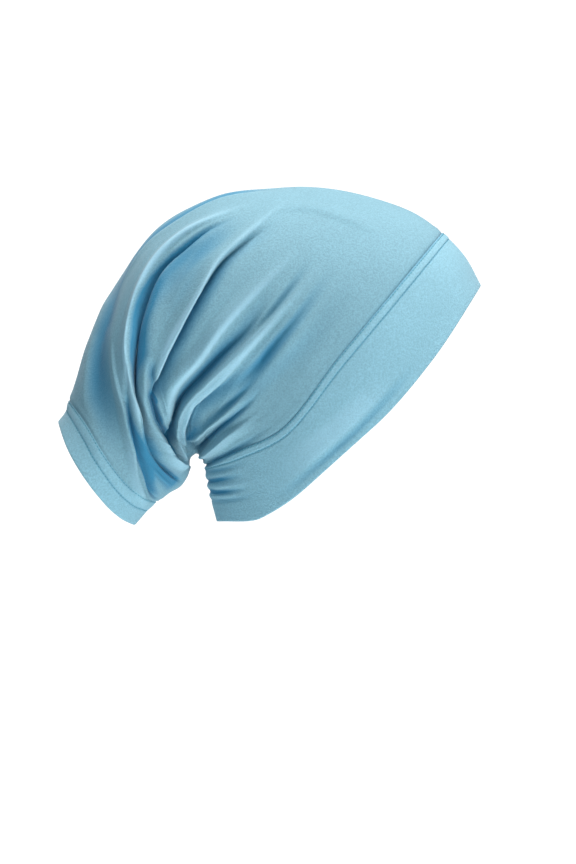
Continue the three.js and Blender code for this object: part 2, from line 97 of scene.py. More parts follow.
# Folds: rise (a share of the fold height, negative for a crease), spread towards the face and towards
# the tail (shares of the fold spread), how round the fold's back or bed is (2 round, 1 sharp), how
# far it leans towards the face (a share of the fold height), how far the cloth is drawn together
# on it, how much painted shade lies in its bed (negative for a painted highlight on its crest), and the
# shares of its run over which it comes and goes. Indented under it follows its line from the gather
# outwards, as per cent of the cap's length and of its drop from the top. A fold with no rise only paints
# shade or light on the cloth.
FOLDS = """
deep_crease   -1.80 1.60 0.35 1.3 -0.25 0.40 1.2 0.20 0.50
    -28.5 90 -31.2 88 -33 86.8 -35 84.7 -37.2 81.6 -39.5 76.7 -40.9 71.2 -42.1 64.6 -43.1 57 -43.3 50
    -42.4 39.4 -39.9 30.2 -36.4 23.9 -31.4 18.7 -25.3 13.3 -17.5 9
drape_edge     0.75 0.35 1.50 1.7  0.30 0.10 -0.4 0.20 0.35
    -38.2 82.3 -41.4 74.9 -43.2 64.1 -44.3 53.5 -44.2 43.5 -42 31.1 -37.8 21.6 -31.2 14.2 -22.6 9 -14 5.2
nape_tuck     -1.00 0.28 0.40 1.2  0.10 0.40 1.1 0.16 0.20
    -31 82.3 -32 81.6 -33.1 80.3 -34.6 77.6 -36 74.1 -37.6 69.6 -39 63.7 -40.2 58.6
nape_cord      1.20 0.65 0.72 2.0  0.00 0.00 -0.5 0.08 0.30
    -30.4 84.2 -33 82.4 -35 80.3 -37.7 75.4 -39.6 69.4 -40.7 62.6 -40.9 55.5 -40.4 49
pinch         -0.60 0.40 0.35 1.4  0.00 0.30 0.7 0.20 0.50
    -38.4 62.5 -38.9 58 -38.8 53.8 -37.6 50
pinch_lip      0.40 0.30 0.35 2.0  0.00 0.00 0.0 0.20 0.50
    -39.8 63.1 -40.3 58.2 -39.9 53 -38.8 49.5
upper_crease  -1.45 1.30 0.32 1.2 -0.30 0.45 0.85 0.08 0.50
    -39 63.5 -38.3 60 -34.3 47.7 -29.3 36.1 -25.6 28.7 -21.5 21.3 -13.7 14.5 -7 8
upper_ridge    0.85 0.40 1.10 1.7  0.40 0.10 -0.2 0.25 0.50
    -39.2 60.6 -36.2 51.8 -30.2 37.3 -24.4 24.7 -19.4 18 -11.2 8.6 -5 3
back_hollow   -0.60 1.20 1.50 2.0  0.00 0.00 0.55 0.40 0.50
    -40 42 -35 30 -28.5 20.5 -17 10.5
side_crease   -1.30 0.60 1.00 1.2  0.20 0.45 1.1 0.10 0.50
    -35 79.5 -35.4 76.1 -34.2 68.8 -32 62.4 -27.9 57 -21.4 48.7 -17 43.4 -13 35.9 -9.5 29.4
side_ridge     0.75 0.80 1.10 1.8  0.00 0.10 -0.2 0.15 0.50
    -36.4 76.5 -35.9 67 -34.9 61 -32.5 56.9 -28 51.2 -22.3 41.5 -15 31.7 -9.5 24.6 -4 17
front_ridge    1.05 0.55 0.50 1.8 -0.10 0.15 -0.5 0.05 0.55
    -30.4 83.2 -31.6 81.2 -33 76 -32.6 70 -30.6 64.5 -26.3 59.2 -19 50.6 -10.2 39.3 -3.1 28.9 2.8 21.7
nape_crease   -0.45 0.30 0.35 1.3  0.10 0.25 0.8 0.08 0.50
    -32.2 76 -31.3 75.2 -27.9 72 -24.4 68.7 -21.3 65.4 -17.3 60.6 -13 54.6
mid_crease    -0.80 0.90 0.60 1.6  0.00 0.20 0.8 0.35 0.55
    -21.4 62.1 -14.8 53.8 -10.4 47.2 -5.2 39.6 0 30.8 5 22
fine_crease   -0.40 0.50 0.50 1.5  0.00 0.00 0.5 0.40 0.50
    -16.5 46.5 -12.6 40.6 -5.2 28.7 -1.3 20.8
upper_roll     1.00 0.60 0.60 2.0  0.00 0.00 -0.4 0.08 0.60
    -32.2 76.8 -31.2 76 -27.9 73.2 -23.4 69.1 -19 64.7 -14 58.8
low_crease    -0.90 0.40 0.32 1.3  0.10 0.35 1.0 0.06 0.55
    -31.5 79.9 -30.5 79 -27.9 76.4 -24.1 72.3 -19.4 67.5 -16.8 64.6 -13.3 59.8
low_roll       1.15 0.75 0.55 2.0  0.00 0.00 -0.4 0.12 0.60
    -31.5 83.5 -29.6 82 -27.7 80.2 -24.7 77.6 -21.8 74.5 -18.7 71.9 -13.5 67.2
hem_crease    -0.50 0.40 0.35 1.4  0.00 0.20 0.7 0.06 0.60
    -29 83.4 -26.6 82.4 -23.5 80.5 -20 78 -15 74.2 -10 69.3
temple_roll    0.65 1.20 1.40 2.0  0.00 0.00 -0.1 0.45 0.60
    -17 62 -8.5 47 -1 34 6 22
temple_hollow -0.28 1.20 1.20 2.0  0.00 0.00 0.15 0.45 0.60
    -12 63 -3.5 49 4.5 36 11 25
nape_ridge     0.70 0.30 0.75 1.7  0.15 0.00 -0.4 0.12 0.55
    -38.6 94.5 -40.6 91.6 -42.2 86 -43.1 77.9 -45 68.1 -47 59.2 -48 49.8 -47.8 40
nape_shade    -0.85 0.75 0.40 1.4 -0.15 0.30 1.2 0.10 0.55
    -37.2 92.8 -39.6 89.8 -41.6 82 -43.1 74.1 -44.3 64.1 -44.7 54.2 -45 46
tail_hollow   -0.90 2.40 1.60 2.0  0.00 0.00 0.95 0.45 0.35
    -43.6 82 -47.3 74.1 -49.7 66.1 -51.1 61.3 -51.5 54.5 -50.9 45.6 -48.9 36.4 -46.6 28.7 -42.5 20
band_hollow   -0.18 1.00 1.00 2.0  0.00 0.00 0.1 0.45 0.50
    -12 95.5 -3.3 88 9.9 74.1 19.4 61.6 25 50
band_swell     0.12 0.80 0.80 2.0  0.00 0.00 0.0 0.45 0.50
    -10 86.5 0.5 77.5 10.9 65.1 18.4 52.6
pucker_a      -0.14 0.22 0.28 1.4  0.00 0.10 0.7 0.40 0.60
    -29.5 84 -26.5 84.2 -24.1 83.9 -20.4 82.8 -15.4 80.2
pucker_b      -0.30 0.26 0.30 1.4  0.00 0.20 1.4 0.40 0.65
    -29.5 87 -26.5 87.1 -24.1 86.8 -20.4 85.9 -16.5 84.4
pucker_c      -0.24 0.26 0.36 1.4  0.00 0.20 1.4 0.40 0.65
    -29.5 89.9 -26 90 -23.4 90.3 -19.5 89.8 -15.5 88.6
pucker_d      -0.12 0.30 0.30 1.4  0.00 0.10 0.5 0.40 0.60
    -29 92.9 -25.6 92.7 -20.4 92.4 -16.1 91.2 -12 89
roll_a         0.12 0.25 0.25 2.0  0.00 0.00 -0.2 0.40 0.60
    -29.5 85.5 -26.2 85.7 -23.4 85.4 -19.5 84.4 -14.5 82.4
roll_b         0.20 0.28 0.28 2.0  0.00 0.00 -0.3 0.40 0.60
    -29.2 88.4 -25.8 88.6 -22.9 88.6 -18.3 87.9 -13.5 86
roll_c         0.12 0.30 0.30 2.0  0.00 0.00 -0.2 0.40 0.60
    -28.5 91.4 -25 91.5 -20.9 91.2 -16.1 90.2
roll_edge     -0.80 1.10 0.28 1.3 -0.15 0.30 0.6 0.10 0.50
    -30.7 79.4 -31.1 73.8 -29.9 69.2 -28.5 65.2 -25.2 61.7 -21.2 57.6 -15 50
drape_crest    0.15 0.22 0.50 1.6  0.00 0.00 -0.9 0.20 0.35
    -38.8 81.8 -41.9 74.6 -43.6 63.8 -44.7 53.3 -44.6 43.5 -42.3 30.9 -38 21.2 -31.4 13.8 -22.8 8.6
    -14.2 4.8
upper_crest    0.15 0.20 0.50 1.6  0.00 0.00 -1.0 0.15 0.50
    -38.7 63.5 -37 55.5 -34.9 47.9 -29.7 36.1 -24.3 25.2 -19.6 18.8 -11.2 8.9 -5 3.4
side_crest     0.18 0.25 0.50 1.6  0.00 0.00 -0.9 0.15 0.50
    -35.6 76.5 -34.8 67 -33.4 61.4 -31.2 57.4 -27.2 51.7 -21.7 42.1 -14.5 32.3 -9 25.2 -3.5 17.6
front_crest    0.15 0.20 0.35 1.6  0.00 0.00 -0.8 0.12 0.55
    -31.4 79.4 -31.6 73.8 -30.4 69 -28.9 64.9 -25.7 61.3 -23.7 59.3 -19.2 53.4 -10.4 40.6 -3.3 30.2
cord_crest     0.15 0.40 0.50 1.8  0.00 0.00 -0.7 0.08 0.30
    -31 83.6 -33.6 81.6 -35.7 79.1 -38.3 74 -40.1 68 -41 61.6 -41 55 -40.2 49.4
cord_hollow   -0.45 0.30 1.90 1.6  0.00 0.10 1.3 0.25 0.40
    -28.5 90 -31.2 88 -33 86.8 -35 84.7 -37.2 81.6 -39.5 76.7 -40.9 71.2 -42.1 64.6
hole_a        -0.15 0.24 0.22 1.4  0.00 0.10 1.8 0.45 0.45
    -39.2 61 -38.7 62.2 -38.4 63.2 -38.1 64.8
hole_b        -0.15 0.22 0.22 1.4  0.00 0.10 1.8 0.45 0.45
    -38.1 66.6 -37.9 67.8 -37.6 69 -37.2 70.6
hole_c        -0.20 0.30 0.30 1.4  0.00 0.10 1.8 0.40 0.45
    -31.8 79.3 -31 78.9 -29.8 78.2 -28.4 77
deep_line     -0.60 0.45 0.25 1.3 -0.10 0.30 1.0 0.35 0.35
    -43 51.8 -42.4 39.4 -39.9 30.2 -36.4 23.9 -31.4 18.7 -25.3 13.3 -17.5 9
crown_step     0.22 0.70 1.80 1.6  0.00 0.00 0.0 0.30 0.40
    -13.5 9.5 -9.5 7.4 -1.7 6.9 7.1 10.5 13.7 14.4 17.5 18.5
deep_shade    -0.25 2.10 0.25 2.0  0.00 0.00 1.00 0.35 0.35
    -42.8 60 -43.3 55 -43.3 49 -43.1 43 -42.2 36 -40.3 30 -36.4 23.9
hole_d        -0.10 0.36 0.30 1.4  0.00 0.00 1.5 0.40 0.45
    -32.4 81.8 -33.6 80.4 -34.8 78 -35.4 75.4
edge_dip      -0.18 0.50 0.55 1.8  0.00 0.00 0.80 0.48 0.42
    -14.8 93 -8.4 90.4 -1.4 83.1 6.2 74.8 12.8 66.8 19.5 57.4 24.3 49.9
band_glow      0.00 1.60 1.60 2.0  0.00 0.00 -0.45 0.40 0.40
    -11 86.5 -3.5 80.5 4.5 72.5 11.5 64.5 18 56
slack_low      0.00 1.60 2.20 2.0  0.00 0.00 0.34 0.40 0.50
    -27 76 -21 66 -14 57 -7 48 0 38
slack_mid      0.00 1.30 1.30 2.0  0.00 0.00 0.34 0.40 0.45
    -35 47 -31 33 -27 22.5 -21 14 -14 9
"""
FOLD_STEPS = 40  # straight stretches in a fold's line
NARROWEST = 0.3  # least share of its width that a turned-away fold shows from the side
LOW_CALM = 0.025  # share of a section's height over which the folds die out at the low line
TRACINGS = 2  # times that the folds' lines are traced back from the folded cloth to the skin
TRACED_GRID = (220, 150)  # stations and turns of the skin that they are traced back to
TRACED_END = 0.02  # turn that this leaves out at the top line and at the low line
TRACED_FACING = -0.12  # it also leaves out the skin whose normal has more Y than this
EVENING = 5  # steps to each side over which a traced line is evened out
MIDDLE = 0.014  # half the breadth over which the photographed side's folds pass into the far side's
WANDER = 0.0022  # how far the far side's folds lie elsewhere
UNDULATION = 0.0006  # height of the loose cloth's slow undulations

FLAT_ROUND = 0.50  # length round the cloth laid flat, which the knit's map keeps to
LAP = 0.0012  # how far the crown reaches past its two seams
STRIP_ROW = 0.0002  # the band's front row of stitching, behind the front of the seam strip
SEAM_ROW = 0.0014  # the band's rear row, in front of the crown seam
HEM_ROWS = (0.0012, 0.0072)  # the hem's rows, behind the crown seam
GROOVE_WIDTH = 0.0006  # of the groove that a row of stitching pulls in
THREAD_PROUD = 0.0001  # how far the middle of a stitch stands on the cloth
EDGE_STEPS = np.array([0.0, 0.07, 0.25, 0.55, 1.0])  # rows round a folded edge, as shares of its radius
SEED = 7  # for the stitches' small differences in size

KNIT, DYE, STITCHES = "Jersey knit", "Uneven dye", "Stitch rows"  # the shared node groups

# Lamps: place, what it is turned to, side, power and colour.
LAMPS = {
    "overhead_light": ((0.25, -0.30, 1.2), (-0.03, 0, -0.1), 0.9, 37, (1, 0.90, 0.865)),
    "right_light": ((1.3, -1.6, -0.7), (0.02, 0, -0.15), 0.9, 13, (1, 0.96, 0.94)),
    "low_light": ((0.45, -0.6, -1.1), (0.02, 0, -0.17), 0.7, 9, (1, 0.97, 0.95)),
    "back_light": ((-0.6, 1.8, 0.3), (-0.03, 0, -0.12), 0.9, 10, (1, 1, 1)),
    "left_light": ((-1.2, -1.7, -0.55), (-0.1, 0, -0.15), 0.8, 6, (0.84, 0.96, 1)),
}
FLOOR_DROP, FLOOR_RADIUS, FLOOR_SIDES = 1.0, 15, 64
CAMERA_PLACE, CAMERA_LENS = (-0.01995, -4.0, -0.1618), 250.6


def numbers(table):
    """The numbers of each row, without its name. An indented line goes on with the row above."""
    return [[float(w) for w in row.split()[1:]] for row in table.strip().replace("\n ", " ").splitlines()]


SECTION_VALUES = np.array(numbers(SECTIONS))
ROWS, COLUMNS = SECTION_VALUES[:, 0], SECTION_VALUES[:, 1:]
LAST = len(COLUMNS) - 1
FOLD_VALUES = numbers(FOLDS)
LINES = []  # the folds' lines on the skin, once they are worked out


# Sizes and colours


class CapSizes(bpy.types.PropertyGroup):
    """Sizes of the cap, from the CAD source."""

    length: FloatProperty(
        name="Length", default=0.281, unit="LENGTH",
        description="Forehead edge to the corner of the tail",
    )
    height: FloatProperty(
        name="Height", default=0.2245, unit="LENGTH",
        description="Top of the crown to the lowest point of the tail",
    )
    breadth: FloatProperty(
        name="Breadth", default=0.157, unit="LENGTH",
        description="Widest, over the temples",
    )
    band_width: FloatProperty(
        name="Band width", default=0.0445, unit="LENGTH",
        description="Forehead edge to the crown seam, along the top line",
    )
    seam_strip: FloatProperty(
        name="Seam strip", default=0.0064, unit="LENGTH",
        description="Turned-in seam allowance, stitched down on the band",
    )
    hem_width: FloatProperty(
        name="Hem width", default=0.017, unit="LENGTH",
        description="Crown seam to the tail's end, along the top line",
    )
    jersey_wall: FloatProperty(
        name="Jersey wall", default=0.0011, unit="LENGTH",
        description="Thickness of the single jersey",
    )
    band_wall: FloatProperty(
        name="Band wall", default=0.0019, unit="LENGTH",
        description="Thickness of the doubled band",
    )
    hem_wall: FloatProperty(
        name="Hem wall", default=0.0017, unit="LENGTH",
        description="Thickness of the doubled hem",
    )
    fold_height: FloatProperty(
        name="Fold height", default=0.006, unit="LENGTH",
        description="Height that the folds' rises are shares of",
    )
    fold_spread: FloatProperty(
        name="Fold spread", default=0.008, unit="LENGTH",
        description="Half-width that the folds' spreads are shares of",
    )
    ripple: FloatProperty(
        name="Gather ripple", default=0.0004, unit="LENGTH",
        description="Height of the small ripples that fan out of the gather",
    )
    tuck: FloatProperty(
        name="Top tucks", default=0.0012, unit="LENGTH",
        description="Height of the long tuck on each side of the top line",
    )
    stitch_pitch: FloatProperty(
        name="Stitch pitch", default=0.0026, unit="LENGTH",
        description="Start of one stitch to the start of the next",
    )
    stitch_length: FloatProperty(
        name="Stitch length", default=0.0017, unit="LENGTH",
        description="Visible length of one stitch",
    )
    thread: FloatProperty(
        name="Thread", default=0.0007, unit="LENGTH",
        description="Width of the sewing thread",
    )


class CapColours(bpy.types.PropertyGroup):
    """Colours of the cap and of its studio, linear."""

    jersey: FloatVectorProperty(
        name="Jersey", default=(0.245, 0.490, 0.600, 1), subtype="COLOR", size=4, min=0, max=1,
        description="Colour of the cloth",
    )
    # Painted shade: the colour the cloth is painted towards in its creases, seams and grooves. It stands in
    # for the shade that falls there, not for its dye.
    deep: FloatVectorProperty(
        name="Deep folds", default=(0.010, 0.195, 0.36, 1), subtype="COLOR", size=4, min=0, max=1,
        description="Colour of the cloth where the dye lies deepest, in the folds",
    )
    # Painted highlight: the colour the cloth is painted towards on fold crests and on the band's lit patch.
    # It stands in for the light that catches them.
    crest: FloatVectorProperty(
        name="Fold crests", default=(0.46, 0.76, 0.92, 1), subtype="COLOR", size=4, min=0, max=1,
        description="Colour of the cloth where a fold stretches it thin",
    )
    thread: FloatVectorProperty(
        name="Thread", default=(0.06, 0.27, 0.36, 1), subtype="COLOR", size=4, min=0, max=1,
        description="Colour of the sewing thread",
    )
    floor: FloatVectorProperty(
        name="Floor", default=(0.86, 0.86, 0.86, 1), subtype="COLOR", size=4, min=0, max=1,
        description="Colour of the studio floor",
    )


# The skin of the cap and its folds


def smooth(x):
    x = np.clip(x, 0, 1)
    return x * x * (3 - 2 * x)


def between(x, start, full, fade, end):
    """Rises from 0 at start to 1 at full, and falls from 1 at fade to 0 at end."""
    return smooth((x - start) / (full - start)) * (1 - smooth((x - fade) / (end - fade)))


def bump_of(distance, place, width):
    return np.exp(-(((distance - place) / width) ** 2))


def unit(v):
    return v / np.maximum(np.linalg.norm(v, axis=-1, keepdims=True), 1e-12)


def run_along(points):
    """How far along the line through the points each of them lies."""
    return np.concatenate([[0], np.cumsum(np.linalg.norm(np.diff(points, axis=0), axis=1))])


def curve_at(xs, ys, x):
    """The smooth curve through the points, read at each x, as the part's source has it."""
    xs, ys = np.asarray(xs, float), np.asarray(ys, float)
    wide = (slice(None),) + (None,) * (ys.ndim - 1)
    secant = (ys[1:] - ys[:-1]) / (xs[1:] - xs[:-1])[wide]
    most = 2 * np.minimum(abs(secant[:-1]), abs(secant[1:]))
    over = (ys[2:] - ys[:-2]) / (xs[2:] - xs[:-2])[wide]
    slope = np.concatenate([secant[:1], np.clip(over, -most, most), secant[-1:]])
    i = np.searchsorted(xs[1:-1], x, side="left")
    h = (xs[i + 1] - xs[i])[wide]
    f = (x - xs[i])[wide] / h
    a, b, m0, m1 = ys[i], ys[i + 1], slope[i] * h, slope[i + 1] * h
    return a + f * (m0 + f * (3 * (b - a) - 2 * m0 - m1 + f * (2 * (a - b) + m0 + m1)))


def placed(sizes, x, z):
    """The place in the mid-plane of a share of the length and a share of the drop from the top."""
    return np.stack([x * sizes.length, sizes.jersey_wall - z * sizes.height], axis=-1)


def skin_at(sizes, stations, turns):
    """The unfolded skin, a row of points for each station.

    A turn is 0 on the top line and pi on the low line, past -Y.
    """
    columns = curve_at(np.arange(LAST + 1), COLUMNS, stations).T
    top_x, top_z, low_x, low_z, bow_a, bow_b, bow_c, bow_d, breadth, egg = columns
    low = placed(sizes, low_x, low_z)
    chord = placed(sizes, top_x, top_z) - low
    height = (1 + np.cos(turns)) / 2
    none = np.zeros_like(bow_a)
    bow = curve_at(BOW_HEIGHTS, [none, bow_a, bow_b, bow_c, bow_d, none], height).T * sizes.height
    faceward = unit(np.stack([chord[:, 1], -chord[:, 0]], axis=-1))
    side = low[:, None] + chord[:, None] * height[None, :, None] + faceward[:, None] * bow[..., None]
    swing = np.sin(turns)
    across = (np.sign(swing) * abs(swing) ** 0.9)[None] * (1 + egg[:, None] * np.cos(turns)[None])
    return np.stack([side[..., 0], -across * breadth[:, None] * sizes.breadth / 2, side[..., 1]], axis=-1)


def skin_normals(sizes, stations, turns):
    step = 1e-3
    back, on = np.maximum(stations - step, 0), np.minimum(stations + step, LAST)
    along = skin_at(sizes, on, turns) - skin_at(sizes, back, turns)
    around = skin_at(sizes, stations, turns + step) - skin_at(sizes, stations, turns - step)
    return unit(np.cross(along, around))


def spline(points, steps):
    """A smooth line through the points (Catmull-Rom), in even steps."""
    p = np.vstack([2 * points[0] - points[1], points, 2 * points[-1] - points[-2]])
    t = np.linspace(0, len(points) - 1, 8 * steps + 1)
    i = np.minimum(t.astype(int), len(points) - 2)
    f = (t - i)[:, None]
    a, b, c, d = p[i], p[i + 1], p[i + 2], p[i + 3]
    line = 0.5 * (2 * b + f * (c - a + f * (2 * a - 5 * b + 4 * c - d + f * (3 * b - a - 3 * c + d))))
    run = run_along(line)
    even = np.linspace(0, run[-1], steps + 1)
    return np.stack([np.interp(even, run, line[:, 0]), np.interp(even, run, line[:, 1])], axis=-1)


def nearest_on(line, points):
    """How each point lies by the line.

    Gives how far off the line it is, on which side, how far along, and the direction across the line,
    towards the face.
    """
    run = line[1:] - line[:-1]
    away = points[:, None] - line[None, :-1]
    f = np.clip((away * run).sum(-1) / (run * run).sum(-1), 0, 1)
    away -= f[..., None] * run
    distance = np.linalg.norm(away, axis=-1)
    i = distance.argmin(axis=1)
    rows = np.arange(len(points))
    # the direction turns smoothly from one stretch to the next
    corner = unit(np.vstack([run[:1], run[1:] + run[:-1], run[-1:]]))
    share = f[rows, i]
    tangent = unit(corner[i] * (1 - share)[:, None] + corner[i + 1] * share[:, None])
    across = np.stack([tangent[:, 1], -tangent[:, 0]], axis=-1)
    sign = np.where((away[rows, i] * across).sum(-1) < 0, -1.0, 1.0)
    return distance[rows, i], sign, (i + share) / len(run), across


def drawn_lines(sizes):
    """Each fold's line as the table draws it."""
    lines = []
    for row in FOLD_VALUES:
        stops = np.array(row[9:]).reshape(-1, 2) / 100
        lines.append(spline(placed(sizes, stops[:, 0], stops[:, 1]), FOLD_STEPS))
    return lines


def fold_lines(sizes):
    """The folds' lines on the unfolded skin.

    The table draws each fold where it shows on the folded cloth. Where the skin is turned away, the
    fold's rise carries it sideways, so its line starts from where that cloth comes from.
    """
    if not LINES:
        drawn = drawn_lines(sizes)
        LINES.extend(drawn)
        stations = np.linspace(0, LAST, TRACED_GRID[0])
        turns = np.linspace(TRACED_END, math.pi - TRACED_END, TRACED_GRID[1])
        skin = skin_at(sizes, stations, turns).reshape(-1, 3)
        normals = skin_normals(sizes, stations, turns).reshape(-1, 3)
        facing = normals[:, 1] < TRACED_FACING
        skin, normals = skin[facing], normals[facing]
        window = np.full(2 * EVENING + 1, 1 / (2 * EVENING + 1))
        for _ in range(TRACINGS):
            moved = fold_all(sizes, skin, normals, False)[0]
            shows = (skin + moved)[:, [0, 2]]
            for n, line in enumerate(drawn):
                nearest = ((shows[None] - line[:, None]) ** 2).sum(-1).argmin(axis=1)
                shift = np.pad(moved[nearest][:, [0, 2]], ((EVENING, EVENING), (0, 0)), "edge")
                even = [np.convolve(shift[:, k], window, "valid") for k in (0, 1)]
                LINES[n] = line - np.stack(even, axis=-1)
    return LINES


def fold_all(sizes, points, normals, far):
    """How far the folds move each point of the skin, and how much painted shade it takes in them, negative
    for a painted highlight.

    The far side has the same folds, most of them a little flatter, and a little elsewhere.
    """
    moved, painted_shading = np.zeros_like(points), np.zeros(len(points))
    seen = points[:, [0, 2]].copy()
    if far:
        seen += WANDER * np.stack([np.sin(seen[:, 1] * 55 + 1.0), np.sin(seen[:, 0] * 48 + 0.4)], axis=-1)
    for n, line in enumerate(fold_lines(sizes)):
        rise, face, tail, roundness, lean, pinch, dark, come, go = FOLD_VALUES[n][:9]
        reach = max(face, tail) * sizes.fold_spread
        near = ((seen > line.min(0) - reach) & (seen < line.max(0) + reach)).all(axis=1)
        if not near.any():
            continue
        distance, sign, share, across = nearest_on(line, seen[near])
        normal = normals[near]
        tilt = normal[:, 0] * across[:, 0] + normal[:, 2] * across[:, 1]
        facing = np.maximum(np.sqrt(np.maximum(1 - tilt * tilt, 0)), NARROWEST)
        spread = np.where(sign > 0, face, tail) * sizes.fold_spread
        q = np.minimum(distance / facing / spread, 1)
        held = smooth(share / come) * smooth((1 - share) / go)
        if far:
            held *= 0.85 + 0.2 * math.sin(2.7 * n)
        body = (1 - q**roundness) ** 2 * held
        level = np.stack([across[:, 0], np.zeros(len(across)), across[:, 1]], axis=-1)
        sideways = unit(level - normal * tilt[:, None])
        drawn_in = sign * pinch * spread * q * (1 - q * q) ** 2 * held
        slide = lean * sizes.fold_height * body - drawn_in
        moved[near] += rise * sizes.fold_height * body[:, None] * normal + slide[:, None] * sideways
        # Painted shade in the fold's bed, and painted highlight on its crest where dark is negative.
        painted_shading[near] += dark * (1 - q**3) ** 2 * held
    return moved, painted_shading


def top_tucks(stations, turns):
    """The long tuck on each side of the top line, over the back of the crown.

    Gives how it rises, and its painted shade beside the tuck with a painted highlight by its ridge, from -1
    to 1. The far side's runs a little lower.
    """
    s = stations[:, None]
    t = np.minimum(turns, 2 * math.pi - turns)[None]
    far = (turns > math.pi)[None]
    held = between(s, 6.6, 8.0, 10.4, 12.0)
    off = t - (0.24 + 0.18 * smooth((s - 7.4) / 2.2) + 0.02 * np.sin(1.7 * s) + 0.04 * far)
    rise = bump_of(off, 0.06, 0.055) - 0.9 * bump_of(off, -0.035, 0.045)
    shade = 0.95 * smooth(-off / 0.03) * smooth((off + 0.36) / 0.32) - 0.5 * bump_of(off, 0.03, 0.03)
    return held * rise, held * shade


def fan_out(stations, height):
    """The small ripples that fan out of the gather, from -1 to 1."""
    slow = np.sin(2 * math.pi * 2.15 * stations + 1.3 * np.sin(1.1 * stations))
    wave = 0.6 * slow + 0.4 * np.sin(2 * math.pi * 3.4 * stations + 2.0)
    held = between(stations, 2.0, 3.2, 12.0, 15.0)
    return (wave * held)[:, None] * between(height, 0, 0.05, 0.10, 0.40)[None]


def drift(stations, turns):
    """Slow undulations of loose cloth, from about -1 to 1."""
    s, t = stations[:, None], turns[None]
    slow = 0.5 * np.sin(1.3 * s + 2 * t + 0.7) * np.sin(3 * t + 0.4)
    return slow + 0.3 * np.sin(2.1 * s - 3 * t) + 0.2 * np.sin(3.3 * s + 5 * t + 1.9)


def folded(sizes, stations, turns, band=False):
    """The folded middle of the cloth: its points, the skin's normals, and the painted shade of each point,
    negative for a painted highlight.

    The band lies close, so it doesn't undulate, and its folds go on across the low line.
    """
    skin, normals = skin_at(sizes, stations, turns), skin_normals(sizes, stations, turns)
    flat, flat_normals = skin.reshape(-1, 3), normals.reshape(-1, 3)
    side = smooth((flat[:, 1] + MIDDLE) / (2 * MIDDLE))
    moved, painted_shading = np.zeros_like(flat), np.zeros(len(flat))
    for far, share in ((False, 1 - side), (True, side)):
        use = share > 0
        m, d = fold_all(sizes, flat[use], flat_normals[use], far)
        moved[use] += share[use, None] * m
        painted_shading[use] += share[use] * d
    moved, painted_shading = moved.reshape(skin.shape), painted_shading.reshape(skin.shape[:2])
    height = (1 + np.cos(turns)) / 2
    small = sizes.ripple * fan_out(stations, height)
    if not band:
        low = smooth(height / LOW_CALM)
        moved, painted_shading = moved * low[None, :, None], painted_shading * low[None]
        loose = smooth((stations - 2.2) / 4)[:, None]
        small = small + UNDULATION * loose * drift(stations, turns)
    tuck, shade = top_tucks(stations, turns)
    return skin + moved + (sizes.tuck * tuck + small)[..., None] * normals, normals, painted_shading + shade


def top_line(sizes):
    """Stations along the top line and how far along it they lie."""
    stations = np.linspace(0, LAST, 1501)
    return stations, run_along(skin_at(sizes, stations, np.array([0.0]))[:, 0])


def distances(sizes, stations):
    return np.interp(stations, *top_line(sizes))


def tube_length(sizes):
    return top_line(sizes)[1][-1]


def station_along(sizes, distance):
    stations, run = top_line(sizes)
    return np.interp(distance, run, stations)


def rows_between(start, end, closeness=1.0):
    """Stations from start to end, as close as the sections ask for."""
    run = np.concatenate([[0], np.cumsum(ROWS[:-1])])
    here = np.interp([start, end], np.arange(LAST + 1), run)
    count = int(round((here[1] - here[0]) * closeness))
    count += count % 2
    return np.interp(np.linspace(here[0], here[1], count + 1), run, np.arange(LAST + 1))


def turns_round(count):
    """Turns round the tube, closest together about the low line."""
    even = np.arange(count) * 2 * math.pi / count
    return even + 0.22 * np.sin(even)


# Meshes


def link_object(name, data):
    obj = bpy.data.objects.new(name, data)
    bpy.context.scene.collection.objects.link(obj)
    return obj


def add_object(name, verts, faces):
    mesh = bpy.data.meshes.new(name)
    mesh.from_pydata(verts, [], faces)
    mesh.validate()
    mesh.polygons.foreach_set("use_smooth", np.ones(len(mesh.polygons), bool))
    return link_object(name, mesh)


def erode(field, rounds):
    """The lowest value in each point's neighbourhood; the field closes on itself round the tube."""
    for _ in range(rounds):
        f = np.minimum(field, np.minimum(np.roll(field, 1, axis=1), np.roll(field, -1, axis=1)))
        up, down = np.vstack([f[:1], f[:-1]]), np.vstack([f[1:], f[-1:]])
        field = np.minimum(f, np.minimum(up, down))
    return field


def map_knit(mesh, along, girth):
    """The knit's own map, in metres: along the tube and round it."""
    u = np.concatenate([np.repeat(along, len(girth)), np.repeat(along[::2], len(girth[::2]))])
    v = np.concatenate([np.tile(girth, len(along)), np.tile(girth[::2], len(along[::2]))])
    corner, first = np.zeros(len(mesh.loops), int), np.zeros(len(mesh.polygons), int)
    mesh.loops.foreach_get("vertex_index", corner)
    mesh.polygons.foreach_get("loop_start", first)
    u, v = u[corner], v[corner]
    # a face across the map's own edge takes its low corners from the next time round
    high = np.repeat(np.maximum.reduceat(v, first), np.diff(np.append(first, len(corner))))
    v = np.where(high - v > FLAT_ROUND / 2, v + FLAT_ROUND, v)
    layer = mesh.uv_layers.new(name="knit")
    layer.data.foreach_set("uv", np.stack([u, v], axis=-1).ravel().astype(np.float32))


